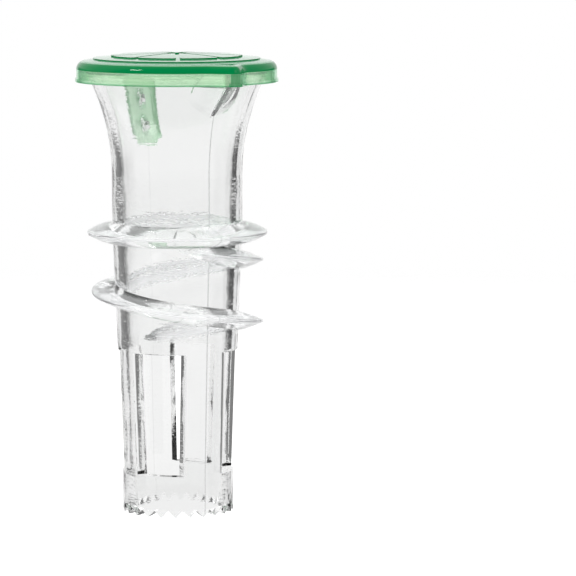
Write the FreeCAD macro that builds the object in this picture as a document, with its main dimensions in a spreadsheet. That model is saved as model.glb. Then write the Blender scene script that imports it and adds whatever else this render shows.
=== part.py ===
"""Screw-in citrus spout with a flip cap: a clear moulded spout, a strap clipped on two pegs, and a cap.

Frame: +Z up, origin on the spout's axis in the plane of its tooth tips. The pouring beak points 43 degrees
from +X towards -Y, and the hinge is opposite to it. The four juice windows lie between posts on the beak's
side, on the hinge's side and halfway between them, so the windows face nearly +X, +Y, -X and -Y.
"""
import FreeCAD
import Part
import Sketcher
import math
import os

V = FreeCAD.Vector
Z_AXIS = V(0, 0, 1)
BEAK_TURN = -43.0
HINGE_TURN = BEAK_TURN + 180.0
WINDOWS = 4
BEAK_STEPS = 4
BEAK_SINK_POWER = 3
THREAD_STEPS = 44
LEVEL_TOLERANCE = 1e-4
# the thread's ends: how far they lie under the tube's surface, and the share of its width they keep
THREAD_CLEAR = 0.10
LEAST_FADE = 0.03
FULL_TURN = 360.0
FRONT_TURN = -90.0
THIRD_TURN = 120
ON_EDGE = 45.0
OTHER_END = {1: 2, 2: 1}

DIMENSIONS = {
    # spout, outside
    "tip_radius": 10.15,
    "tip_straight": 6.60,
    "neck_radius": 11.95,
    "flange_radius": 16.45,
    "flange_low": 49.50,
    "flange_high": 53.40,
    "flange_tip_low": 51.15,
    "flange_tip_high": 51.75,
    "flange_bulge": 11.0,
    "flange_tip_arc": 0.60,
    "flare_start": 62.0,
    "flare_arc": 40.0,
    "rim_height": 81.20,
    # spout, inside
    "bore_tip_radius": 8.00,
    "bore_neck_radius": 10.20,
    # screw thread: one left-hand start that runs down from the stop flange
    "thread_radius": 15.80,
    "thread_lead": 11.36,
    "thread_top": 49.32,
    "thread_start_turn": 14.0,
    "thread_sweep": 592.0,
    "thread_fade": 52.0,
    "thread_root_half": 2.00,
    "thread_crest_half": 0.36,
    "thread_swell": 0.10,
    "thread_sink": 1.10,
    # juice windows and cutting teeth
    "window_low": 7.60,
    "window_height": 22.40,
    "seam_post_half": 3.85,
    "side_post_half": 2.50,
    "tooth_depth": 1.25,
    "tooth_count": 24.0,
    "tooth_bar": 3.0,
    # beak
    "beak_reach": 20.25,
    "beak_low_reach": 11.30,
    "beak_low": 71.50,
    "beak_shoulder": 79.00,
    "beak_start": 72.20,
    "beak_tip_arc": 0.45,
    "beak_bluntest": 80.0,
    "beak_sink_low": 0.15,
    "beak_sink_high": 2.30,
    "groove_wall": 2.10,
    # cap
    "cap_radius": 18.35,
    "cap_base": 79.10,
    "cap_shoulder": 82.95,
    "cap_edge_round": 1.60,
    "cap_wall": 1.00,
    "cap_ceiling": 81.40,
    "lip_extra": 0.22,
    "lip_height": 0.60,
    "ear_centre": 20.00,
    "ear_tip_arc": 1.80,
    "ear_hollow_arc": 4.00,
    "ear_half_angle": 40.0,
    "disc_radius": 15.30,
    "disc_foot": 83.18,
    "disc_edge": 83.40,
    "disc_sink": 0.40,
    "crown_radius": 200.0,
    "segment_count": 9.0,
    "segment_turn": -8.0,
    "segment_outer": 12.0,
    "segment_inner": 2.20,
    "segment_gap": 0.35,
    "segment_corner": 0.70,
    "segment_rise": 0.24,
    "segment_sink": 0.10,
    # strap
    "strap_low": 66.85,
    "strap_high": 78.85,
    "strap_out_low": 14.90,
    "strap_out_high": 18.15,
    "strap_angle": 60.0,
    "strap_width": 6.50,
    "strap_clearance": 0.10,
    "strap_corner": 1.30,
    "slot_half_width": 1.05,
    "slot_half_height": 1.65,
    "peg_radius": 0.95,
    "peg_bulb": 1.25,
    "peg_root": 0.80,
    "peg_reach": 0.85,
    "peg_upper": 75.30,
    "peg_lower": 70.35,
    # how far a cutter runs past what it cuts
    "overrun": 1.0,
    "bar_length": 30.0,
}

doc = FreeCAD.newDocument("citrus_spout")


def make_sheet():
    """The driving dimensions, one aliased cell each."""
    sheet = doc.addObject("Spreadsheet::Sheet", "sheet")
    for row, (alias, value) in enumerate(DIMENSIONS.items(), start=1):
        sheet.set(f"A{row}", alias)
        sheet.set(f"B{row}", str(value))
        sheet.setAlias(f"B{row}", alias)
    doc.recompute()
    return sheet


sheet = make_sheet()


def dim(alias):
    return float(sheet.get(alias))


def from_sheet(text):
    """An expression in plain aliases, with each alias pointed at the sheet."""
    words = sorted(DIMENSIONS, key=len, reverse=True)
    for index, word in enumerate(words):
        text = text.replace(word, f"<{index}>")
    for index, word in enumerate(words):
        text = text.replace(f"<{index}>", f"sheet.{word}")
    return text


def drive(thing, **bindings):
    for name, text in bindings.items():
        thing.setExpression(name, from_sheet(text))


def place(thing, turn, z_text="0"):
    """Turns an object about +Z and lifts it to a height that the sheet drives."""
    thing.Placement = FreeCAD.Placement(V(0, 0, 0), FreeCAD.Rotation(Z_AXIS, turn))
    if z_text != "0":
        thing.setExpression("Placement.Base.z", from_sheet(z_text))


def origin_plane(body, role):
    return next(item for item in body.Origin.OriginFeatures if item.Role == role)


def new_body(name):
    body = doc.addObject("PartDesign::Body", name)
    body.Label = name
    return body


def body_sketch(body, name, role, z_text=None):
    sketch = body.newObject("Sketcher::SketchObject", name)
    sketch.AttachmentSupport = [(origin_plane(body, role), "")]
    sketch.MapMode = "FlatFace"
    if z_text:
        sketch.setExpression("AttachmentOffset.Base.z", from_sheet(z_text))
    return sketch


def value_of(text):
    """The value of an expression of aliases."""
    return float(sheet.evalExpression(text))


def outline(sketch, corners):
    """A closed outline. Each corner is (across, up, bulge): bulge is None for a straight run to the next
    corner, or the text of an arc's radius, with a minus sign where the arc bulges to the right.
    Every corner and radius is held by a constraint that the sheet drives."""
    points = [V(value_of(across), value_of(up), 0) for across, up, _ in corners]
    count = len(corners)
    for index, (_, _, bulge) in enumerate(corners):
        start, end = points[index], points[(index + 1) % count]
        run = Part.LineSegment(start, end) if bulge is None else arc_between(start, end, bulge)
        sketch.addGeometry(run)
    starts = [end_at(sketch, index, points[index]) for index in range(count)]
    constraints, driven = [], []
    for index, (across, up, bulge) in enumerate(corners):
        near, before = starts[index], (index - 1) % count
        far = OTHER_END[starts[before]]
        constraints.append(Sketcher.Constraint("Coincident", before, far, index, near))
        sides = (("DistanceX", -2, points[index].x, across), ("DistanceY", -1, points[index].y, up))
        for kind, axis, value, text in sides:
            if text == "0":
                constraints.append(Sketcher.Constraint("PointOnObject", index, near, axis))
            else:
                driven.append((len(constraints), text))
                constraints.append(Sketcher.Constraint(kind, -1, 1, index, near, value))
        if bulge is not None:
            text = bulge.lstrip("-")
            driven.append((len(constraints), text))
            constraints.append(Sketcher.Constraint("Radius", index, value_of(text)))
    sketch.addConstraint(constraints)
    for index, text in driven:
        sketch.renameConstraint(index, f"size_{index}")
        sketch.setExpression(f"Constraints.size_{index}", from_sheet(text))


def end_at(sketch, index, point):
    """Which end of a curve, 1 or 2, is at a point."""
    curve = sketch.Geometry[index]
    return 1 if (curve.StartPoint - point).Length < (curve.EndPoint - point).Length else 2


def arc_between(start, end, bulge):
    """The minor arc of a radius between two points, always drawn anticlockwise."""
    radius = value_of(bulge.lstrip("-"))
    side = -1.0 if bulge.startswith("-") else 1.0
    run = end - start
    half = run.Length / 2
    rise = radius - math.sqrt(max(0.0, radius * radius - half * half))
    left = V(-run.y, run.x, 0).normalize()
    middle = (start + end) / 2 + left * (rise * side)
    return Part.Arc(start, middle, end) if side < 0 else Part.Arc(end, middle, start)


def revolved(body, sketch, angle=FULL_TURN, midplane=False):
    turn = body.newObject("PartDesign::Revolution", sketch.Name + "_turned")
    turn.Profile = sketch
    turn.ReferenceAxis = (sketch, ["V_Axis"])
    turn.Angle = angle
    turn.Midplane = midplane
    sketch.Visibility = False
    return turn


def boolean(kind, name, base, tools):
    """A Part boolean: Cut takes one base and one tool, Fuse and Common take a list."""
    if kind == "Part::Cut":
        result = doc.addObject(kind, name)
        result.Base = base
        result.Tool = tools
        return result
    result = doc.addObject("Part::MultiFuse" if kind == "Part::Fuse" else "Part::MultiCommon", name)
    result.Shapes = [base, *tools]
    return result


# ---------------------------------------------------------------- spout


def spout_outside():
    """The turned outer form: tapered tube, stop flange, neck and flared mouth, filled solid."""
    body = new_body("spout_outside")
    sketch = body_sketch(body, "outside_outline", "XZ_Plane")
    rise = "(flange_low - tip_straight) / (flange_high - tip_straight)"
    taper = f"tip_radius + (neck_radius - tip_radius) * {rise}"
    rim_out = "neck_radius + flare_arc - sqrt(flare_arc^2 - (rim_height - flare_start)^2)"
    outline(
        sketch,
        [
            ("0", "0", None),
            ("tip_radius", "0", None),
            ("tip_radius", "tip_straight", None),
            (taper, "flange_low", "-flange_bulge"),
            ("flange_radius", "flange_tip_low", "-flange_tip_arc"),
            ("flange_radius", "flange_tip_high", "-flange_bulge"),
            ("neck_radius", "flange_high", None),
            ("neck_radius", "flare_start", "flare_arc"),
            (rim_out, "rim_height", None),
            ("0", "rim_height", None),
        ],
    )
    revolved(body, sketch)
    return body


def spout_bore():
    """The turned inner form, from below the teeth to above the rim."""
    body = new_body("spout_bore")
    sketch = body_sketch(body, "bore_outline", "XZ_Plane")
    inner_arc = "(flare_arc + neck_radius - bore_neck_radius)"
    rim_in = f"bore_neck_radius + {inner_arc} - sqrt({inner_arc}^2 - (rim_height - flare_start)^2)"
    outline(
        sketch,
        [
            ("0", "-overrun", None),
            ("bore_tip_radius", "-overrun", None),
            ("bore_neck_radius", "flare_start", inner_arc),
            (rim_in, "rim_height", None),
            (rim_in, "rim_height + overrun", None),
            ("0", "rim_height + overrun", None),
        ],
    )
    revolved(body, sketch)
    return body


def beak_bar(name, wall_radius, arc_radius, inset, extra):
    """The beak as a solid bar: a loft that leans outwards up to the beak's shoulder, and an upright stretch
    above it. Its flanks are nearly tangent to a flared wall, given by its radius at the foot of the flare
    and its arc. Its tip lies the given distance inside the beak's own tip."""
    sketches = []
    for step in range(BEAK_STEPS + 1):
        share = step / BEAK_STEPS
        height = f"(beak_start + (beak_shoulder - beak_start) * {share})"
        wall = f"({wall_radius} + {arc_radius} - sqrt({arc_radius}^2 - ({height} - flare_start)^2))"
        sink = f"(beak_sink_low + (beak_sink_high - beak_sink_low) * {share ** BEAK_SINK_POWER})"
        lean = "(beak_reach - beak_low_reach) / (beak_shoulder - beak_low)"
        reach = f"(beak_low_reach + ({height} - beak_low) * {lean} - {inset})"
        sketches.append(beak_section(f"{name}_outline_{step}", reach, f"({wall} - {sink})", height))
    low = doc.addObject("Part::Loft", f"{name}_low")
    low.Sections = sketches
    low.Solid = True
    high = extruded(f"{name}_high", sketches[-1], f"rim_height - beak_shoulder + {extra}")
    return boolean("Part::Fuse", name, low, [high])


def beak_section(name, reach, off, z_text):
    """A level V with a small round tip, whose flanks pass the spout's axis at a given distance, or stay
    at the bluntest angle where the tip is hardly further out than that."""
    sketch = doc.addObject("Sketcher::SketchObject", name)
    centre = f"({reach} - beak_tip_arc)"
    sine = f"min(({off} - beak_tip_arc) / {centre}; sin(beak_bluntest))"
    cosine = f"sqrt(1 - {sine}^2)"
    foot = f"(beak_tip_arc + {centre} * {sine})"
    tip_x, tip_y = f"({centre} + beak_tip_arc * {sine})", f"(beak_tip_arc * {cosine})"
    foot_x, foot_y = f"({foot} * {sine})", f"({foot} * {cosine})"
    outline(
        sketch,
        [
            (tip_x, f"-{tip_y}", "-beak_tip_arc"),
            (tip_x, tip_y, None),
            (foot_x, foot_y, None),
            (foot_x, f"-{foot_y}", None),
        ],
    )
    place(sketch, BEAK_TURN, z_text)
    return sketch


def extruded(name, sketch, length):
    bar = doc.addObject("Part::Extrusion", name)
    bar.Base = sketch
    bar.DirMode = "Normal"
    bar.Solid = True
    drive(bar, LengthFwd=length)
    return bar


def thread_point(turn_deg, radius, up=0.0):
    """A point at a radius and a height above the thread's crest, after a turn from the thread's start."""
    angle = math.radians(FRONT_TURN + dim("thread_start_turn") + turn_deg)
    height = dim("thread_top") - dim("thread_lead") * turn_deg / FULL_TURN + up
    return V(radius * math.cos(angle), radius * math.sin(angle), height)


def thread_section(turn_deg, fade, root, crest):
    """One lens-shaped section of the thread, in the plane at an angle about the axis."""
    reach = root + (crest - root) * fade
    root_half = dim("thread_root_half") * math.sqrt(max(fade, LEAST_FADE))
    crest_half = min(dim("thread_crest_half"), root_half / 2)
    inner = root - dim("thread_sink")

    def at(radius, up):
        return thread_point(turn_deg, radius, up)

    middle = (inner + reach) / 2
    swell = (root_half + crest_half) / 2 + dim("thread_swell") * (root_half - crest_half)
    low = Part.Arc(at(inner, -root_half), at(middle, -swell), at(reach - crest_half, -crest_half))
    tip = Part.Arc(at(reach - crest_half, -crest_half), at(reach, 0), at(reach - crest_half, crest_half))
    high = Part.Arc(at(reach - crest_half, crest_half), at(middle, swell), at(inner, root_half))
    back = Part.LineSegment(at(inner, root_half), at(inner, -root_half))
    return Part.Wire([edge.toShape() for edge in (low, tip, high, back)])


def thread_ridge():
    """The screw thread: a lens-shaped rib wound down the tube, which rises from it and sinks back into it
    at its ends. A loft through sections, because a helix feature has blunt ends."""
    sweep, straight = dim("thread_sweep"), dim("tip_straight")
    slope = (dim("neck_radius") - dim("tip_radius")) / (dim("flange_high") - straight)
    sections = []
    for step in range(THREAD_STEPS + 1):
        turn_deg = sweep * step / THREAD_STEPS
        root = dim("tip_radius") + slope * (thread_point(turn_deg, 0.0).z - straight)
        ramp = min(1.0, min(turn_deg, sweep - turn_deg) / dim("thread_fade"))
        fade = ramp * ramp * (3 - 2 * ramp)
        sections.append(thread_section(turn_deg, fade, root - THREAD_CLEAR, dim("thread_radius")))
    ridge = doc.addObject("Part::Feature", "thread_ridge")
    ridge.Shape = Part.makeLoft(sections, True, False)
    return ridge


def pegs():
    """Two round pegs on the back of the flare, each with a ball end outside the strap."""
    parts = []
    slope = "(strap_out_high - strap_out_low) / (strap_high - strap_low)"
    for name in ("peg_upper", "peg_lower"):
        flare = f"(neck_radius + flare_arc - sqrt(flare_arc^2 - ({name} - flare_start)^2))"
        face = f"(strap_out_low + ({name} - strap_low) * {slope})"
        start, ball = value_of(f"{flare} - peg_root"), value_of(f"{face} + peg_reach")
        stem = doc.addObject("Part::Cylinder", name)
        drive(stem, Radius="peg_radius", Height=f"{face} + peg_reach - {flare} + peg_root")
        lay_outwards(stem, start, dim(name))
        bulb = doc.addObject("Part::Sphere", f"{name}_ball")
        drive(bulb, Radius="peg_bulb")
        lay_outwards(bulb, ball, dim(name))
        parts += [stem, bulb]
    return parts


def lay_outwards(thing, radius, height):
    """Points an object's own +Z away from the axis on the hinge side, and its own +X down, from a radius
    and a height."""
    turn = math.radians(HINGE_TURN)
    outwards = V(math.cos(turn), math.sin(turn), 0)
    base = outwards * radius + V(0, 0, height)
    thing.Placement = FreeCAD.Placement(base, FreeCAD.Rotation(-Z_AXIS, V(), outwards, "ZXY"))


def window_tools():
    """Four boxes that leave four posts with parallel sides: two in the plane of the beak and the hinge,
    and two narrower ones across it."""
    tools = []
    seam, side = dim("seam_post_half"), dim("side_post_half")
    for index in range(WINDOWS):
        box = doc.addObject("Part::Box", f"window_{index + 1}")
        drive(box, Length="bar_length", Width="bar_length", Height="window_height")
        corner = V(seam, side, dim("window_low")) if index % 2 else V(side, seam, dim("window_low"))
        turn = FreeCAD.Rotation(Z_AXIS, BEAK_TURN + FULL_TURN * index / WINDOWS)
        box.Placement = FreeCAD.Placement(turn.multVec(corner), turn)
        tools.append(box)
    return tools


def tooth_tools():
    """Square bars on edge across the tube's end, each of which cuts two opposite notches."""
    bars, tools = round(dim("tooth_count")) // 2, []
    step, side, length = FULL_TURN / dim("tooth_count"), dim("tooth_bar"), dim("bar_length")
    for index in range(bars):
        bar = doc.addObject("Part::Box", f"notch_{index + 1}")
        drive(bar, Length="bar_length", Width="tooth_bar", Height="tooth_bar")
        turn = FreeCAD.Rotation(Z_AXIS, step * index + step / 2)
        base = turn.multVec(V(-length / 2, 0, 0)) + V(0, 0, dim("tooth_depth") - side * math.sqrt(2))
        bar.Placement = FreeCAD.Placement(base, turn * FreeCAD.Rotation(V(1, 0, 0), ON_EDGE))
        tools.append(bar)
    return tools


def make_spout():
    beak = beak_bar("beak", "neck_radius", "flare_arc", "0", "0")
    inner_arc = "(flare_arc + neck_radius - bore_neck_radius)"
    groove = beak_bar("beak_groove", "bore_neck_radius", inner_arc, "groove_wall", "overrun")
    filled = boolean("Part::Fuse", "spout_filled", spout_outside(), [beak, thread_ridge(), *pegs()])
    hollow = boolean("Part::Fuse", "spout_hollow", spout_bore(), [groove])
    bored = boolean("Part::Cut", "spout_bored", filled, hollow)
    first, *rest = [*window_tools(), *tooth_tools()]
    cutters = boolean("Part::Fuse", "spout_cutters", first, rest)
    spout = boolean("Part::Cut", "spout", bored, cutters)
    spout.Label = "spout"
    return spout


# ---------------------------------------------------------------- cap


def lobed_outline(sketch, inset):
    """A circle with a rounded V-shaped ear along +X, blended in by two hollow arcs. The inset is how far
    the outline lies inside the cap's wall."""
    ring, hollow, tip = f"(cap_radius - {inset})", f"(ear_hollow_arc + {inset})", f"(ear_tip_arc - {inset})"
    flank = "(ear_centre * sin(ear_half_angle) + ear_tip_arc)"
    span = "(cap_radius + ear_hollow_arc)"
    join = f"((90 - ear_half_angle) - acos(({flank} + ear_hollow_arc) / {span}) / 1 deg)"
    centre_x = f"({span} * cos({join}))"
    centre_y = f"({span} * sin({join}))"
    flank_x = f"({centre_x} - {hollow} * sin(ear_half_angle))"
    flank_y = f"({centre_y} - {hollow} * cos(ear_half_angle))"
    tip_x = f"(ear_centre + {tip} * sin(ear_half_angle))"
    tip_y = f"({tip} * cos(ear_half_angle))"
    outline(
        sketch,
        [
            (f"{ring} * cos({join})", f"{ring} * sin({join})", f"-{ring}"),
            (f"{ring} * cos({THIRD_TURN})", f"{ring} * sin({THIRD_TURN})", f"-{ring}"),
            (f"{ring} * cos(-{THIRD_TURN})", f"{ring} * sin(-{THIRD_TURN})", f"-{ring}"),
            (f"{ring} * cos({join})", f"-{ring} * sin({join})", hollow),
            (flank_x, f"-{flank_y}", None),
            (tip_x, f"-{tip_y}", f"-{tip}"),
            (tip_x, tip_y, None),
            (flank_x, flank_y, hollow),
        ],
    )


def edges_at(feature, height):
    """The names of a feature's edges that lie level at a height."""
    return [
        f"Edge{index}"
        for index, edge in enumerate(feature.Shape.Edges, start=1)
        if all(abs(vertex.Point.z - height) < LEVEL_TOLERANCE for vertex in edge.Vertexes)
    ]


def pad(body, name, sketch, length):
    feature = body.newObject("PartDesign::Pad", name)
    feature.Profile = sketch
    drive(feature, Length=length)
    sketch.Visibility = False
    return feature


def rounded(body, name, base, height, size):
    """A fillet on the edges of a feature that lie level at a height."""
    doc.recompute()
    feature = body.newObject("PartDesign::Fillet", name)
    feature.Base = (base, edges_at(base, height))
    drive(feature, Radius=size)


def segment_outline(sketch):
    """One slice segment along +X: two sides, a round outer edge and three rounded corners."""
    corner, half = "segment_corner", "(180 / segment_count)"
    reach = f"sqrt((segment_outer - {corner})^2 - (segment_gap + {corner})^2)"
    side_x = f"({reach} * cos({half}) + segment_gap * sin({half}))"
    side_y = f"({reach} * sin({half}) - segment_gap * cos({half}))"
    centre_x = f"({reach} * cos({half}) + (segment_gap + {corner}) * sin({half}))"
    centre_y = f"({reach} * sin({half}) - (segment_gap + {corner}) * cos({half}))"
    grow = f"(segment_outer / (segment_outer - {corner}))"
    rim_x, rim_y = f"({centre_x} * {grow})", f"({centre_y} * {grow})"
    tip = f"(segment_inner * sin({half}) - segment_gap)"
    tip_x = f"(segment_inner - {tip} * sin({half}))"
    tip_y = f"({tip} * cos({half}))"
    outline(
        sketch,
        [
            (tip_x, f"-{tip_y}", None),
            (side_x, f"-{side_y}", f"-{corner}"),
            (rim_x, f"-{rim_y}", "-segment_outer"),
            (rim_x, rim_y, f"-{corner}"),
            (side_x, side_y, None),
            (tip_x, tip_y, f"-{tip}"),
        ],
    )


def crown_height(radius, rise="0"):
    """The height of the cap's crowned top, or of a surface a little above it, at a radius."""
    centre = "(disc_edge - sqrt(crown_radius^2 - disc_radius^2))"
    return f"({centre} + sqrt((crown_radius + {rise})^2 - ({radius})^2))"


def cap_disc(cap):
    """The sloping shoulder of the cap's top and the crowned disc that stands on it."""
    sketch = body_sketch(cap, "disc_outline", "XZ_Plane")
    outline(
        sketch,
        [
            ("0", "cap_shoulder - disc_sink", None),
            ("cap_radius - cap_edge_round", "cap_shoulder - disc_sink", None),
            ("cap_radius - cap_edge_round", "cap_shoulder", None),
            ("disc_radius", "disc_foot", None),
            ("disc_radius", "disc_edge", "-crown_radius"),
            ("0", crown_height("0"), None),
        ],
    )
    revolved(cap, sketch)


def cap_segments(cap):
    """The ring of slice segments, padded too tall and then turned down to a crowned top."""
    sketch = body_sketch(cap, "segment_outline", "XY_Plane", "disc_edge - segment_sink")
    sketch.AttachmentOffset = FreeCAD.Placement(V(0, 0, 0), FreeCAD.Rotation(Z_AXIS, dim("segment_turn")))
    sketch.setExpression("AttachmentOffset.Base.z", from_sheet("disc_edge - segment_sink"))
    segment_outline(sketch)
    segment = pad(cap, "segment", sketch, "segment_sink + 2 * overrun")
    ring = cap.newObject("PartDesign::PolarPattern", "segments")
    ring.Originals = [segment]
    ring.Axis = (sketch, ["N_Axis"])
    ring.Angle = FULL_TURN
    drive(ring, Occurrences="segment_count")
    cap.Tip = ring

    trim = body_sketch(cap, "crown_outline", "XZ_Plane")
    outline(
        trim,
        [
            ("0", crown_height("0", "segment_rise"), "crown_radius + segment_rise"),
            ("disc_radius", crown_height("disc_radius", "segment_rise"), None),
            ("disc_radius", "disc_edge + 4 * overrun", None),
            ("0", "disc_edge + 4 * overrun", None),
        ],
    )
    groove = cap.newObject("PartDesign::Groove", "crown_turned")
    groove.Profile = trim
    groove.ReferenceAxis = (trim, ["V_Axis"])
    groove.Angle = FULL_TURN
    cap.Tip = groove


def make_cap():
    cap = new_body("flip_cap")
    wall = body_sketch(cap, "cap_outline", "XY_Plane", "cap_base")
    lobed_outline(wall, "0")
    solid = pad(cap, "cap_block", wall, "cap_shoulder - cap_base")
    rounded(cap, "cap_edge", solid, dim("cap_shoulder"), "cap_edge_round")

    lip = body_sketch(cap, "lip_outline", "XY_Plane", "cap_base")
    lobed_outline(lip, "(-lip_extra)")
    pad(cap, "cap_lip", lip, "lip_height")
    cap_disc(cap)
    cap_segments(cap)

    hollow = body_sketch(cap, "hollow_outline", "XY_Plane", "cap_base")
    lobed_outline(hollow, "cap_wall")
    pocket = cap.newObject("PartDesign::Pocket", "cap_hollow")
    pocket.Profile = hollow
    pocket.Reversed = True
    drive(pocket, Length="cap_ceiling - cap_base")
    cap.Tip = pocket
    place(cap, BEAK_TURN)
    return cap


# ---------------------------------------------------------------- strap


def make_strap():
    """The cap's strap: a tongue that hugs the back of the flare, with two oval slots over the pegs."""
    hull = new_body("strap_hull")
    sketch = body_sketch(hull, "strap_side", "XZ_Plane")
    arc = "(flare_arc - strap_clearance)"
    inner = "neck_radius + flare_arc - sqrt({arc}^2 - ({height} - flare_start)^2)"
    outline(
        sketch,
        [
            ("strap_out_low", "strap_low", None),
            ("strap_out_high", "strap_high", None),
            (inner.format(arc=arc, height="strap_high"), "strap_high", arc),
            (inner.format(arc=arc, height="strap_low"), "strap_low", None),
        ],
    )
    revolved(hull, sketch, dim("strap_angle"), True)
    place(hull, HINGE_TURN)
    tongue = boolean("Part::Common", "strap_tongue", hull, [strap_bar()])
    slots = [peg_slot(name) for name in ("peg_upper", "peg_lower")]
    pair = boolean("Part::Fuse", "strap_slots", slots[0], slots[1:])
    strap = boolean("Part::Cut", "hinge_strap", tongue, pair)
    strap.Label = "hinge_strap"
    return strap


def strap_bar():
    """A level bar with the strap's outline as seen from behind: straight sides, rounded lower corners."""
    front = doc.addObject("Sketcher::SketchObject", "strap_front")
    half, corner, fall = "(strap_width / 2)", "strap_corner", "(strap_high - strap_low)"
    outline(
        front,
        [
            (f"({fall} - {corner})", f"-{half}", None),
            ("-overrun", f"-{half}", None),
            ("-overrun", half, None),
            (f"({fall} - {corner})", half, f"-{corner}"),
            (fall, f"({half} - {corner})", None),
            (fall, f"-({half} - {corner})", f"-{corner}"),
        ],
    )
    bar = extruded("strap_bar", front, "bar_length")
    lay_outwards(front, 0.0, dim("strap_high"))
    return bar


def peg_slot(name):
    """An upright oval bar at a peg's height. It runs both ways from the spout's axis, because an ellipse
    has no side that is outwards."""
    oval = doc.addObject("Part::Ellipse", f"{name}_oval")
    drive(oval, MajorRadius="slot_half_height", MinorRadius="slot_half_width")
    bar = extruded(f"{name}_slot", oval, "2 * bar_length")
    bar.Symmetric = True
    lay_outwards(oval, 0.0, dim(name))
    return bar


# ---------------------------------------------------------------- checks and files


def check_document():
    """Stops if any object failed to compute."""
    failed = [item.Name for item in doc.Objects if {"Invalid", "Error"} & set(item.State)]
    if failed:
        raise RuntimeError("failed objects: " + ", ".join(failed))


def check_thread(spout):
    """Stops if the thread was lost when it was joined to the tube."""
    inside_crest = dim("thread_radius") - dim("thread_crest_half")
    point = thread_point(dim("thread_sweep") / 2, inside_crest)
    if not spout.Shape.isInside(point, LEVEL_TOLERANCE, False):
        raise RuntimeError("the spout has no thread")


def write_parts(nodes):
    for node in nodes:
        shape = node.Shape
        if shape.isNull() or not shape.isValid() or len(shape.Solids) != 1:
            raise RuntimeError(f"{node.Label}: bad shape, {len(shape.Solids)} solids")
    os.makedirs("parts", exist_ok=True)
    for node in nodes:
        node.Shape.exportStep(os.path.join("parts", node.Label + ".step"))
        print(f"{node.Label}: volume {node.Shape.Volume:.1f}")


nodes = [make_spout(), make_cap(), make_strap()]
doc.recompute()
check_document()
check_thread(nodes[0])
write_parts(nodes)
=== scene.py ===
"""The looks of a screw-in citrus spout: clear moulded plastic under a translucent green flip cap."""
import math

import bmesh
import bpy
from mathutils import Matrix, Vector


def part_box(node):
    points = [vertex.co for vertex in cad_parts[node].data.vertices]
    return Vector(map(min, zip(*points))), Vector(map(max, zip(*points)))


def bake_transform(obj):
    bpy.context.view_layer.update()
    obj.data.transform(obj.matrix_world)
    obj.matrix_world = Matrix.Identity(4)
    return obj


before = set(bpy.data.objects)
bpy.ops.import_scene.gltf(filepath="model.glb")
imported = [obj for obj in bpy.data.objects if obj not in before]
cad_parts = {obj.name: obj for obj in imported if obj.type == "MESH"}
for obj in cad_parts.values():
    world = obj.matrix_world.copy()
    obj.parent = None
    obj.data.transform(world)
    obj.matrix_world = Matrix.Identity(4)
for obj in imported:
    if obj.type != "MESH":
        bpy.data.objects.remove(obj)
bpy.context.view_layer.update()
MM = 0.001

# ---------------------------------------------------------------- camera

VIEW_TURN = math.radians(18.0)       # the camera's place about the spout's axis, from -Y towards +X
CAMERA_RANGE = 0.6646                # level distance from the camera to the spout's axis
CAMERA_HEIGHT = 0.118
AIM_HEIGHT = 0.041
AIM_ASIDE = 0.0203                   # how far to the right of the spout the camera aims
LENS_MM = 227.5
SENSOR_MM = 36.0

# The studio's dark flags beside the backdrop: where each starts and ends, in degrees from the view's
# direction, and how dark it is. The heights here are given as the slope of the light.
LEFT_FLAG = (21.0, 84.0, 0.80)
RIGHT_FLAG = (25.0, 70.0, 0.93)
FLAG_EDGE = 8.0                      # how many degrees a flag's edge takes to fade
FLAG_FOOT, FLAG_FOOT_FADE = -0.182, 0.035
FLAG_TOP, FLAG_TOP_FADE = 0.04, 0.10
BACKDROP_FOOT = 0.93                 # how bright the backdrop is where it meets the floor
BACKDROP_LOW, BACKDROP_HIGH = -0.19, -0.07
ROOM = 0.12                          # how bright the room behind the camera is
ROOM_FULL, ROOM_END = -0.35, 0.05    # how far ahead a direction points where the room is dimmest and ends

FLOOR_RADIUS = 0.45
FLOOR_FADE = (0.12, 0.42)            # where the floor's paint starts to fade, and where it is gone
FLOOR_WHITE = (0.96, 0.96, 0.96, 1)
LIGHT_AIM = Vector((0, 0, 0.05))     # a little above the middle of the spout
LIGHT_BOUNCES = 32                   # many, because the light goes through several clear walls in a row

# the plane of the beak and the hinge, where the mould's halves meet
BEAK_WAY = Vector((0.7314, -0.6820, 0))
HINGE_WAY = -BEAK_WAY
SEAM_NORMAL = Vector((0.6820, 0.7314, 0))

# painted shade: the deep green of light absorbed on its long way through the cap's rim, top edges and
# lobe's point
DEEP_SHADE_GREEN = (0.0, 0.175, 0.048, 1)
EDGE_GREEN = (0.10, 0.42, 0.20, 1)
TOP_MINT = (0.43, 0.80, 0.57, 1)
MINT = (0.655, 0.85, 0.63, 1)
# painted shade: the darker mint where the cap's skirt turns away from the eye, also the colour of its
# streaks
SHADE_AND_STREAK_MINT = (0.24, 0.56, 0.35, 1)
PALE_MINT = (0.80, 0.88, 0.79, 1)
# painted shade: the green along the strap's sides and round its slots
SLOT_SHADE_GREEN = (0.42, 0.54, 0.45, 1)
CLEAR = (0.962, 0.965, 0.963, 1)
RIB_CLEAR = (0.912, 0.912, 0.922, 1)
SEAM_GREY = (0.60, 0.61, 0.61, 1)
RIB_MILK, BEAK_MILK = 0.23, 0.17     # the share of light that the ribs and the beak scatter
RIB_POLISH = 0.8                     # how much weaker the mould's strokes are on the ribs

CLEAR_IOR, CLEAR_ROUGH = 1.52, 0.01
GREEN_IOR, GREEN_ROUGH = 1.45, 0.03
GREEN_SHEEN = 0.4
CLEAR_SHADOW = (0.93, 0.94, 0.94)    # the share of lamp light that each clear surface lets through
GREEN_SHADOW = (0.7, 0.92, 0.76)
CAP_THROUGH, STRAP_THROUGH = 0.72, 0.70
CLEAR_WAVES, CLEAR_STROKES = 0.12 * MM, 0.017 * MM
GREEN_WAVES, GREEN_STROKES = 0.06 * MM, 0.006 * MM
WAVE_SCALE = 130.0
STROKE_SCALE = (600.0, 600.0, 2400.0)

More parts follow.
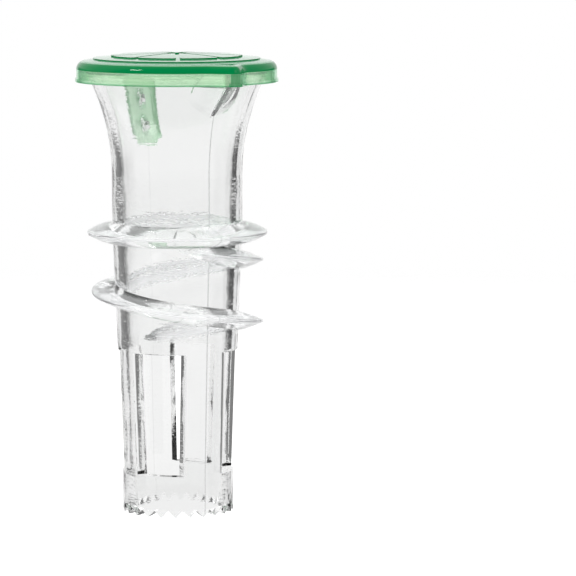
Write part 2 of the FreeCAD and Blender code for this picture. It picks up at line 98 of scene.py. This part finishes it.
# the seam: half its width, its top, and the middle of the tube's wall, inside which there is none. The
# wall's middle is given by its radius at the teeth and how much that grows with height.
SEAM_HALF = (0.05 * MM, 0.14 * MM)
SEAM_DEEP = 0.05 * MM
SEAM_TOP = 73.5 * MM
SEAM_BACK, SEAM_FRONT = 0.3, 1.0     # how strong it is on the hinge's side and on the beak's
MID_WALL_FOOT, MID_WALL_TAPER = 9.1 * MM, 0.0366

# where each share starts and ends its fade: as a distance from the spout's axis, from the seam's plane or
# along the beak's way, or as a height
RIB_RADII = (11.9 * MM, 13.2 * MM)
RIB_TOP = (56.0 * MM, 58.0 * MM)
RIDGE_HALF = (0.5 * MM, 3.5 * MM)
RIDGE_AHEAD = (12.0 * MM, 15.0 * MM)
RIDGE_HEIGHTS = (70.0 * MM, 76.0 * MM)

# the cap: the fades from its skirt to its plate, from its hem to its skirt and into the lobe's point;
# the plate's sides and the lobe's point carry painted deep green shade
PLATE_HEIGHTS = (81.25 * MM, 81.45 * MM)
HEM_HEIGHTS = (79.22 * MM, 79.42 * MM)
POINT_AHEAD = (21.42 * MM, 21.56 * MM)
FACING_UP = (0.80, 0.93)             # the upward share of a normal where the cap's side turns into its top

# the hinge's web, which starts a little inside the strap's top and ends a little inside the cap's skirt
WEB_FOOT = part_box("hinge_strap")[1][2] - 0.05 * MM
WEB_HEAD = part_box("flip_cap")[0][2] + 0.10 * MM
WEB_RADIUS, WEB_WIDTH, WEB_THICK = 17.80 * MM, 5.0 * MM, 0.5 * MM
WEB_STEPS = 6

# the strap: where the painted shade along its sides fades in, its slots' half width and half height, and
# the heights of the slots' middles
STRAP_SIDE = (3.08 * MM, 3.22 * MM)
SLOT_HALF = (1.05 * MM, 1.65 * MM)
SLOT_HEIGHTS = (75.30 * MM, 70.35 * MM)
# painted shade: the dark line round each slot
SLOT_LINE = (1.04, 1.22)             # the dark line round a slot, in slot sizes from its middle


def make_camera():
    """The camera, at a turn from -Y towards +X about the spout's axis and aimed to its right."""
    towards = Vector((math.sin(VIEW_TURN), -math.cos(VIEW_TURN), 0))
    right = Vector((math.cos(VIEW_TURN), math.sin(VIEW_TURN), 0))
    data = bpy.data.cameras.new("camera")
    data.lens = LENS_MM
    data.sensor_width = SENSOR_MM
    data.clip_end = 50
    camera = bpy.data.objects.new("camera", data)
    bpy.context.scene.collection.objects.link(camera)
    camera.location = towards * CAMERA_RANGE + Vector((0, 0, CAMERA_HEIGHT))
    aim = right * AIM_ASIDE + Vector((0, 0, AIM_HEIGHT))
    camera.rotation_euler = (aim - camera.location).to_track_quat("-Z", "Y").to_euler()
    bpy.context.scene.camera = camera


# ---------------------------------------------------------------- node helpers


class Tree:
    """A short way to write a material's nodes."""

    def __init__(self, owner):
        owner.use_nodes = True
        self.tree = owner.node_tree
        self.tree.nodes.clear()

    def add(self, kind, settings=None, **inputs):
        node = self.tree.nodes.new(kind)
        for name, value in (settings or {}).items():
            setattr(node, name, value)
        for name, value in inputs.items():
            self.feed(node, name.replace("_", " "), value)
        return node

    def feed(self, node, name, value):
        socket = node.inputs[int(name[1:])] if name[0] == "i" and name[1:].isdigit() else node.inputs[name]
        if isinstance(value, bpy.types.NodeSocket):
            self.tree.links.new(value, socket)
        elif isinstance(value, bpy.types.Node):
            self.tree.links.new(value.outputs[0], socket)
        else:
            socket.default_value = value


def clear_for_lamps(tree, shader, tint):
    """Lets lamp light through a surface, so that clear plastic casts no black shadow."""
    path = tree.add("ShaderNodeLightPath")
    through = tree.add("ShaderNodeBsdfTransparent", Color=(*tint, 1))
    mix = tree.add("ShaderNodeMixShader", i0=path.outputs["Is Shadow Ray"], i1=shader, i2=through)
    return mix


def ramp(tree, value, low, high, to_low=0.0, to_high=1.0):
    """A smooth step of a value."""
    step = tree.add("ShaderNodeMapRange", {"interpolation_type": "SMOOTHSTEP"}, Value=value)
    for name, number in (("From Min", low), ("From Max", high), ("To Min", to_low), ("To Max", to_high)):
        tree.feed(step, name, number)
    return step.outputs["Result"]


def math_node(tree, operation, first, second=0.0):
    """One operation on one or two values."""
    return tree.add("ShaderNodeMath", {"operation": operation}, i0=first, i1=second)


def blend_color(tree, share, first, second):
    """A colour between two, by a share."""
    mix = tree.add("ShaderNodeMix", {"data_type": "RGBA"}, i0=share, i6=first, i7=second)
    return mix.outputs[2]


# ---------------------------------------------------------------- materials


def part_place(tree):
    """The place on the part, in its own frame."""
    return tree.add("ShaderNodeTexCoord").outputs["Object"]


def along(tree, place, way):
    """How far a place lies along a direction from the spout's axis."""
    return tree.add("ShaderNodeVectorMath", {"operation": "DOT_PRODUCT"}, i0=place, i1=way).outputs["Value"]


def moulded_surface(tree, broad, fine, base=None, rough=1.0):
    """A bump of broad waves, and of fine level strokes like those that polishing leaves in a mould. Both
    depths are lengths."""
    place = part_place(tree)
    wave = tree.add("ShaderNodeTexNoise", Vector=place, Scale=WAVE_SCALE, Detail=1.0, Roughness=0.5)
    squeezed = tree.add("ShaderNodeMapping", Vector=place, Scale=STROKE_SCALE)
    stroke = tree.add("ShaderNodeTexNoise", Vector=squeezed, Scale=1.0, Detail=2.0, Roughness=0.6)
    low = tree.add("ShaderNodeBump", Strength=1.0, Distance=broad, Height=wave.outputs["Fac"])
    if base:
        tree.feed(low, "Normal", base)
    height = stroke.outputs["Fac"]
    return tree.add("ShaderNodeBump", Strength=rough, Distance=fine, Height=height, Normal=low)


def seam_line(tree):
    """1 on the fine line that the mould's halves leave on the outside of the spout, and 0 elsewhere. It is
    fainter on the hinge's side."""
    place = part_place(tree)
    off = math_node(tree, "ABSOLUTE", along(tree, place, SEAM_NORMAL))
    line = ramp(tree, off, *SEAM_HALF, 1.0, 0.0)
    height = tree.add("ShaderNodeSeparateXYZ", Vector=place).outputs["Z"]
    ahead = along(tree, place, BEAK_WAY)
    strength = ramp(tree, ahead, -5.0 * MM, 5.0 * MM, SEAM_BACK, SEAM_FRONT)
    mid_wall = math_node(tree, "ADD", math_node(tree, "MULTIPLY", height, MID_WALL_TAPER), MID_WALL_FOOT)
    outside = math_node(tree, "GREATER_THAN", math_node(tree, "ABSOLUTE", ahead), mid_wall)
    below_mouth = math_node(tree, "LESS_THAN", height, SEAM_TOP)
    line = math_node(tree, "MULTIPLY", line, strength)
    return math_node(tree, "MULTIPLY", math_node(tree, "MULTIPLY", line, outside), below_mouth)


def rib_share(tree):
    """1 on the flange and the thread, 0 on the tube."""
    place = part_place(tree)
    height = tree.add("ShaderNodeSeparateXYZ", Vector=place).outputs["Z"]
    level = tree.add("ShaderNodeVectorMath", {"operation": "MULTIPLY"}, i0=place, i1=(1, 1, 0))
    radius = tree.add("ShaderNodeVectorMath", {"operation": "LENGTH"}, i0=level).outputs["Value"]
    proud = ramp(tree, radius, *RIB_RADII)
    low = ramp(tree, height, *RIB_TOP, 1.0, 0.0)
    return math_node(tree, "MULTIPLY", proud, low)


def beak_share(tree):
    """1 along the beak's ridge, 0 away from it."""
    place = part_place(tree)
    off = math_node(tree, "ABSOLUTE", along(tree, place, SEAM_NORMAL))
    narrow = ramp(tree, off, *RIDGE_HALF, 1.0, 0.0)
    ahead = ramp(tree, along(tree, place, BEAK_WAY), *RIDGE_AHEAD)
    height = tree.add("ShaderNodeSeparateXYZ", Vector=place).outputs["Z"]
    high = ramp(tree, height, *RIDGE_HEIGHTS)
    return math_node(tree, "MULTIPLY", math_node(tree, "MULTIPLY", narrow, ahead), high)


def clear_plastic():
    """Polished clear plastic with a fine seam line. It scatters a little light in the thick flange and
    thread and in the beak, and none in the tube."""
    material = bpy.data.materials.new("clear_plastic")
    tree = Tree(material)
    rib = rib_share(tree)
    beak = math_node(tree, "MULTIPLY", beak_share(tree), BEAK_MILK)
    milk = math_node(tree, "MAXIMUM", math_node(tree, "MULTIPLY", rib, RIB_MILK), beak)
    rough = math_node(tree, "SUBTRACT", 1.0, math_node(tree, "MULTIPLY", rib, RIB_POLISH))
    seam = seam_line(tree)
    ridge = tree.add("ShaderNodeBump", Strength=1.0, Distance=SEAM_DEEP, Height=seam)
    plain = blend_color(tree, rib, CLEAR, RIB_CLEAR)
    shader = tree.add(
        "ShaderNodeBsdfPrincipled",
        Base_Color=blend_color(tree, seam, plain, SEAM_GREY),
        Roughness=CLEAR_ROUGH,
        IOR=CLEAR_IOR,
        Transmission_Weight=math_node(tree, "SUBTRACT", 1.0, milk),
        Normal=moulded_surface(tree, CLEAR_WAVES, CLEAR_STROKES, ridge, rough),
    )
    end = clear_for_lamps(tree, shader, CLEAR_SHADOW)
    tree.add("ShaderNodeOutputMaterial", Surface=end)
    return material


def green_surface(tree, color, through, sheen):
    """Translucent green plastic that lets a share of the light through and scatters the rest."""
    glass = tree.add(
        "ShaderNodeBsdfPrincipled",
        Base_Color=color,
        Roughness=GREEN_ROUGH,
        IOR=GREEN_IOR,
        Transmission_Weight=through,
        Specular_IOR_Level=sheen,
        Normal=moulded_surface(tree, GREEN_WAVES, GREEN_STROKES),
    )
    end = clear_for_lamps(tree, glass, GREEN_SHADOW)
    tree.add("ShaderNodeOutputMaterial", Surface=end)


def cap_plastic():
    """The cap's green: pale in the thin skirt and from above, and painted deep green shade where the light
    comes a
    long way through the plate: at its rim, at the raised edges on top, and along the pouring lobe's point.
    The skirt is also painted darker where it turns away from the eye."""
    material = bpy.data.materials.new("green_plastic")
    tree = Tree(material)
    place = part_place(tree)
    height = tree.add("ShaderNodeSeparateXYZ", Vector=place).outputs["Z"]
    facing = tree.add("ShaderNodeNewGeometry").outputs["Normal"]
    options = {"vector_type": "NORMAL", "convert_from": "WORLD", "convert_to": "OBJECT"}
    own = tree.add("ShaderNodeVectorTransform", options, Vector=facing)
    upwards = ramp(tree, tree.add("ShaderNodeSeparateXYZ", Vector=own).outputs["Z"], *FACING_UP)
    plate = ramp(tree, height, *PLATE_HEIGHTS)
    # painted shade: the plate's sides and the lobe's point are marked for a deep green that stands for
    # light absorbed through the plastic
    rim = math_node(tree, "MULTIPLY", plate, math_node(tree, "SUBTRACT", 1.0, upwards))
    point = ramp(tree, along(tree, place, BEAK_WAY), *POINT_AHEAD)
    deep = math_node(tree, "MAXIMUM", rim, math_node(tree, "MULTIPLY", point, 0.85))

    streak = tree.add("ShaderNodeTexNoise", {"noise_dimensions": "1D"}, W=height, Scale=2300.0, Detail=2.0)
    streaks = ramp(tree, streak.outputs["Fac"], 0.35, 0.7, 0.0, 0.35)
    # painted shade: the skirt's mint darkens where it turns away from the eye
    oblique = tree.add("ShaderNodeLayerWeight", Blend=0.5).outputs["Facing"]
    skirt = blend_color(tree, ramp(tree, oblique, 0.25, 0.85), MINT, SHADE_AND_STREAK_MINT)
    skirt = blend_color(tree, streaks, skirt, SHADE_AND_STREAK_MINT)
    hem = ramp(tree, height, *HEM_HEIGHTS, 0.75, 0.0)
    skirt = blend_color(tree, hem, skirt, EDGE_GREEN)
    top = math_node(tree, "MULTIPLY", plate, upwards)
    color = blend_color(tree, top, skirt, TOP_MINT)
    color = blend_color(tree, deep, color, DEEP_SHADE_GREEN)
    through = math_node(tree, "SUBTRACT", CAP_THROUGH, math_node(tree, "MULTIPLY", deep, 0.55))
    duller = math_node(tree, "MULTIPLY", deep, 0.32)
    matt = math_node(tree, "MAXIMUM", duller, math_node(tree, "MULTIPLY", top, 0.25))
    green_surface(tree, color, through, math_node(tree, "SUBTRACT", GREEN_SHEEN, matt))
    return material


def strap_plastic():
    """The strap's green: pale, with painted shade in a darker line round each slot and along the sides."""
    material = bpy.data.materials.new("green_strap")
    tree = Tree(material)
    place = part_place(tree)
    across = along(tree, place, SEAM_NORMAL)
    height = tree.add("ShaderNodeSeparateXYZ", Vector=place).outputs["Z"]
    # painted shade: darker green along the strap's sides, then a dark line round each slot
    dark = ramp(tree, math_node(tree, "ABSOLUTE", across), *STRAP_SIDE, 0.0, 0.6)
    for middle in SLOT_HEIGHTS:
        wide = math_node(tree, "DIVIDE", across, SLOT_HALF[0])
        tall = math_node(tree, "DIVIDE", math_node(tree, "SUBTRACT", height, middle), SLOT_HALF[1])
        spread = tree.add("ShaderNodeCombineXYZ", X=wide, Y=tall)
        away = tree.add("ShaderNodeVectorMath", {"operation": "LENGTH"}, i0=spread).outputs["Value"]
        dark = math_node(tree, "MAXIMUM", dark, ramp(tree, away, *SLOT_LINE, 1.0, 0.0))
    cloud = tree.add("ShaderNodeTexNoise", Vector=place, Scale=700.0, Detail=2.0)
    pale = blend_color(tree, ramp(tree, cloud.outputs["Fac"], 0.3, 0.7, 0.0, 0.25), PALE_MINT, MINT)
    color = blend_color(tree, dark, pale, SLOT_SHADE_GREEN)
    green_surface(tree, color, STRAP_THROUGH, GREEN_SHEEN)
    return material


# ---------------------------------------------------------------- studio


def make_floor():
    """A pale floor that fades out at its rim into the white around it."""
    mesh = bpy.data.meshes.new("floor")
    shape = bmesh.new()
    bmesh.ops.create_circle(shape, cap_ends=True, segments=96, radius=FLOOR_RADIUS)
    shape.to_mesh(mesh)
    shape.free()
    floor = bpy.data.objects.new("floor", mesh)
    bpy.context.scene.collection.objects.link(floor)
    floor.visible_transmission = False
    floor.visible_glossy = False
    material = bpy.data.materials.new("floor")
    tree = Tree(material)
    place = tree.add("ShaderNodeTexCoord").outputs["Object"]
    far = tree.add("ShaderNodeVectorMath", {"operation": "LENGTH"}, i0=place)
    paint = tree.add("ShaderNodeBsdfDiffuse", Color=FLOOR_WHITE)
    clear = tree.add("ShaderNodeBsdfTransparent")
    faded = ramp(tree, far.outputs["Value"], *FLOOR_FADE)
    mix = tree.add("ShaderNodeMixShader", i0=faded, i1=paint, i2=clear)
    tree.add("ShaderNodeOutputMaterial", Surface=mix)
    mesh.materials.append(material)


def flag(tree, angle, side, start, end, depth):
    """How much light one flag takes away, by the angle from the view's direction."""
    edge = math.radians(FLAG_EDGE)
    into = ramp(tree, angle, math.radians(start), math.radians(start) + edge)
    out = ramp(tree, angle, math.radians(end), math.radians(end) + edge, 1.0, 0.0)
    here = math_node(tree, "MULTIPLY", into, out)
    return math_node(tree, "MULTIPLY", math_node(tree, "MULTIPLY", here, side), depth)


def make_world():
    """White all round for the eye. For light that bends or reflects, two upright dark flags stand beside
    the white backdrop and draw the dark edges of clear plastic. For light that reflects, the room behind
    the camera is dim too."""
    world = bpy.data.worlds.new("world")
    bpy.context.scene.world = world
    tree = Tree(world)
    way = tree.add("ShaderNodeTexCoord").outputs["Generated"]
    turned = tree.add("ShaderNodeVectorRotate", {"rotation_type": "Z_AXIS"}, Vector=way, Angle=-VIEW_TURN)
    split = tree.add("ShaderNodeSeparateXYZ", Vector=turned)
    aside, ahead, slope = (split.outputs[name] for name in "XYZ")
    angle = math_node(tree, "ARCTAN2", math_node(tree, "ABSOLUTE", aside), ahead)
    right = math_node(tree, "GREATER_THAN", aside, 0.0)
    left = math_node(tree, "SUBTRACT", 1.0, right)
    left_dark = flag(tree, angle, left, *LEFT_FLAG)
    right_dark = flag(tree, angle, right, *RIGHT_FLAG)
    both = math_node(tree, "ADD", left_dark, right_dark)
    under = ramp(tree, slope, FLAG_TOP, FLAG_TOP + FLAG_TOP_FADE, 1.0, 0.0)
    over = ramp(tree, slope, FLAG_FOOT - FLAG_FOOT_FADE, FLAG_FOOT)
    taken = math_node(tree, "MULTIPLY", both, math_node(tree, "MULTIPLY", under, over))
    foot = ramp(tree, slope, BACKDROP_LOW, BACKDROP_HIGH, BACKDROP_FOOT, 1.0)
    shade = math_node(tree, "MULTIPLY", math_node(tree, "SUBTRACT", 1.0, taken), foot)
    path = tree.add("ShaderNodeLightPath")
    behind = ramp(tree, ahead, ROOM_FULL, ROOM_END, ROOM, 1.0)
    bent = path.outputs["Is Transmission Ray"]
    room = tree.add("ShaderNodeMix", {"data_type": "FLOAT"}, i0=bent, i2=behind, i3=1.0)
    shade = math_node(tree, "MULTIPLY", shade, room.outputs[0])
    eye = math_node(tree, "MAXIMUM", path.outputs["Is Camera Ray"], path.outputs["Is Diffuse Ray"])
    strength = tree.add("ShaderNodeMix", {"data_type": "FLOAT"}, i0=eye, i2=shade, i3=1.0)
    back = tree.add("ShaderNodeBackground", Color=(1, 1, 1, 1), Strength=strength.outputs[0])
    tree.add("ShaderNodeOutputWorld", Surface=back)


def softbox(name, turn_deg, distance, height, size, power):
    """A square soft light that looks at the spout, a turn from -Y towards +X about it."""
    data = bpy.data.lights.new(name, "AREA")
    data.size = size
    data.energy = power
    lamp = bpy.data.objects.new(name, data)
    bpy.context.scene.collection.objects.link(lamp)
    turn = math.radians(turn_deg)
    lamp.location = (distance * math.sin(turn), -distance * math.cos(turn), height)
    aim = LIGHT_AIM - lamp.location
    lamp.rotation_euler = aim.to_track_quat("-Z", "Y").to_euler()
    lamp.visible_camera = False
    return data


# ---------------------------------------------------------------- pieces


def dress(node, material):
    """Gives a CAD node one material."""
    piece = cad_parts[node]
    piece.data.materials.clear()
    piece.data.materials.append(material)


def web_middle(height):
    """The middle of the web at a height."""
    return HINGE_WAY * WEB_RADIUS + Vector((0, 0, height))


def web_corners(height):
    """The four corners of the web's cross-section at a height."""
    half_width = SEAM_NORMAL * (WEB_WIDTH / 2)
    half_thick = HINGE_WAY * (WEB_THICK / 2)
    return [
        web_middle(height) + half_width * across + half_thick * deep
        for across, deep in ((-1, -1), (1, -1), (1, 1), (-1, 1))
    ]


def hinge_web(material):
    """The thin web that joins the strap's top to the cap's skirt."""
    mesh = bpy.data.meshes.new("hinge_web")
    shape = bmesh.new()
    rows = []
    for step in range(WEB_STEPS + 1):
        height = WEB_FOOT + (WEB_HEAD - WEB_FOOT) * step / WEB_STEPS
        rows.append([shape.verts.new(corner) for corner in web_corners(height)])
    for low, high in zip(rows, rows[1:]):
        for index in range(4):
            after = (index + 1) % 4
            shape.faces.new((low[index], low[after], high[after], high[index]))
    shape.faces.new(rows[0][::-1])
    shape.faces.new(rows[-1])
    bmesh.ops.recalc_face_normals(shape, faces=shape.faces)
    shape.to_mesh(mesh)
    shape.free()
    web = bpy.data.objects.new("hinge_web", mesh)
    bpy.context.scene.collection.objects.link(web)
    mesh.materials.append(material)
    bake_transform(web)


make_camera()
make_world()
make_floor()
softbox("key", turn_deg=-40, distance=0.9, height=0.9, size=0.22, power=7.0)
fill = softbox("fill", turn_deg=75, distance=1.0, height=0.6, size=0.6, power=3.0)
fill.specular_factor = 0.0

strap_green = strap_plastic()
dress("spout", clear_plastic())
dress("flip_cap", cap_plastic())
dress("hinge_strap", strap_green)
hinge_web(strap_green)

scene = bpy.context.scene
scene.view_settings.view_transform = "Standard"
scene.cycles.max_bounces = LIGHT_BOUNCES
scene.cycles.transmission_bounces = LIGHT_BOUNCES
scene.cycles.transparent_max_bounces = LIGHT_BOUNCES

bpy.context.view_layer.update()
